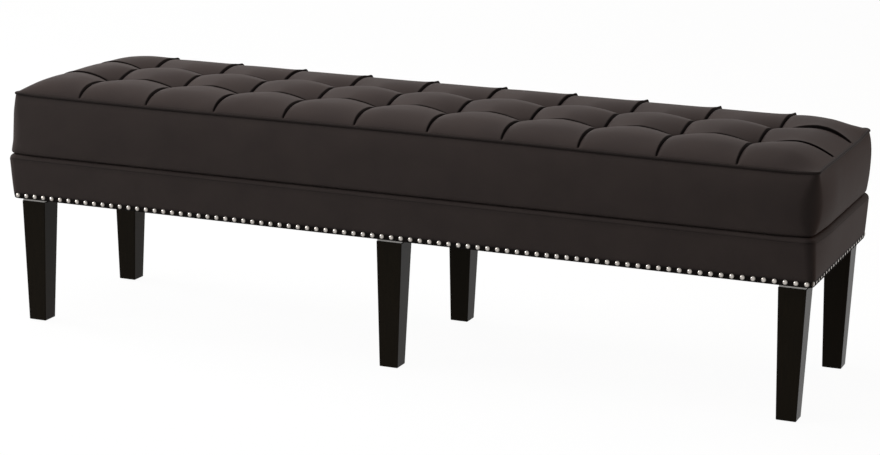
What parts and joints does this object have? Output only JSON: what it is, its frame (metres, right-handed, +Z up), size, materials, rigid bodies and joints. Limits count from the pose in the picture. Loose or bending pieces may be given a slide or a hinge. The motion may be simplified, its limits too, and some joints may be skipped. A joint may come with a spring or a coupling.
{
  "type": "tufted upholstered bench",
  "caption": "Long upholstered bench with a biscuit-tufted leather seat cushion, a padded lower rail trimmed with nail heads, and square tapered legs.",
  "frame": {"origin": "on the floor under the middle of the bench", "axes": "+X along the bench to its right end seen from the front, -Y out of the front, +Z up"},
  "size_m": [1.608, 0.444, 0.4938],
  "materials": {
    "leather": "smooth satin, brown-black",
    "black_lacquer": "satin black lacquer",
    "nickel": "polished nickel",
    "frame_wood": "bare planed wood",
    "padding": "open foam and wadding",
    "black_cloth": "plain woven",
    "steel": "plain plated",
    "glide_plastic": "smooth moulded"
  },
  "bodies": {
    "root": {"front_rail": "frame_wood", "rear_rail": "frame_wood", "left_end_rail": "frame_wood", "right_end_rail": "frame_wood", "left_cross_rail": "frame_wood", "centre_cross_rail": "frame_wood", "right_cross_rail": "frame_wood", "front_left_corner_block": "frame_wood", "front_right_corner_block": "frame_wood", "rear_left_corner_block": "frame_wood", "rear_right_corner_block": "frame_wood", "front_deck_cleat": "frame_wood", "rear_deck_cleat": "frame_wood", "deck_board": "frame_wood", "corner_dowels": "frame_wood", "front_left_leg": "black_lacquer", "front_centre_leg": "black_lacquer", "front_right_leg": "black_lacquer", "rear_left_leg": "black_lacquer", "rear_centre_leg": "black_lacquer", "rear_right_leg": "black_lacquer", "front_rail_pad": "padding", "rear_rail_pad": "padding", "left_end_rail_pad": "padding", "right_end_rail_pad": "padding", "seat_foam": "padding", "biscuit_fills": "padding", "front_nails": "nickel", "rear_nails": "nickel", "left_end_nails": "nickel", "right_end_nails": "nickel", "rail_cover": "leather", "border_band": "leather", "top_welt": "leather", "top_cover": "leather", "tuft_buttons": "leather", "dust_cover": "black_cloth", "tuft_ties": "black_cloth", "leg_plates": "steel", "leg_bolts": "steel", "leg_glides": "glide_plastic", "tie_toggles": "glide_plastic"}
  },
  "joints": []
}
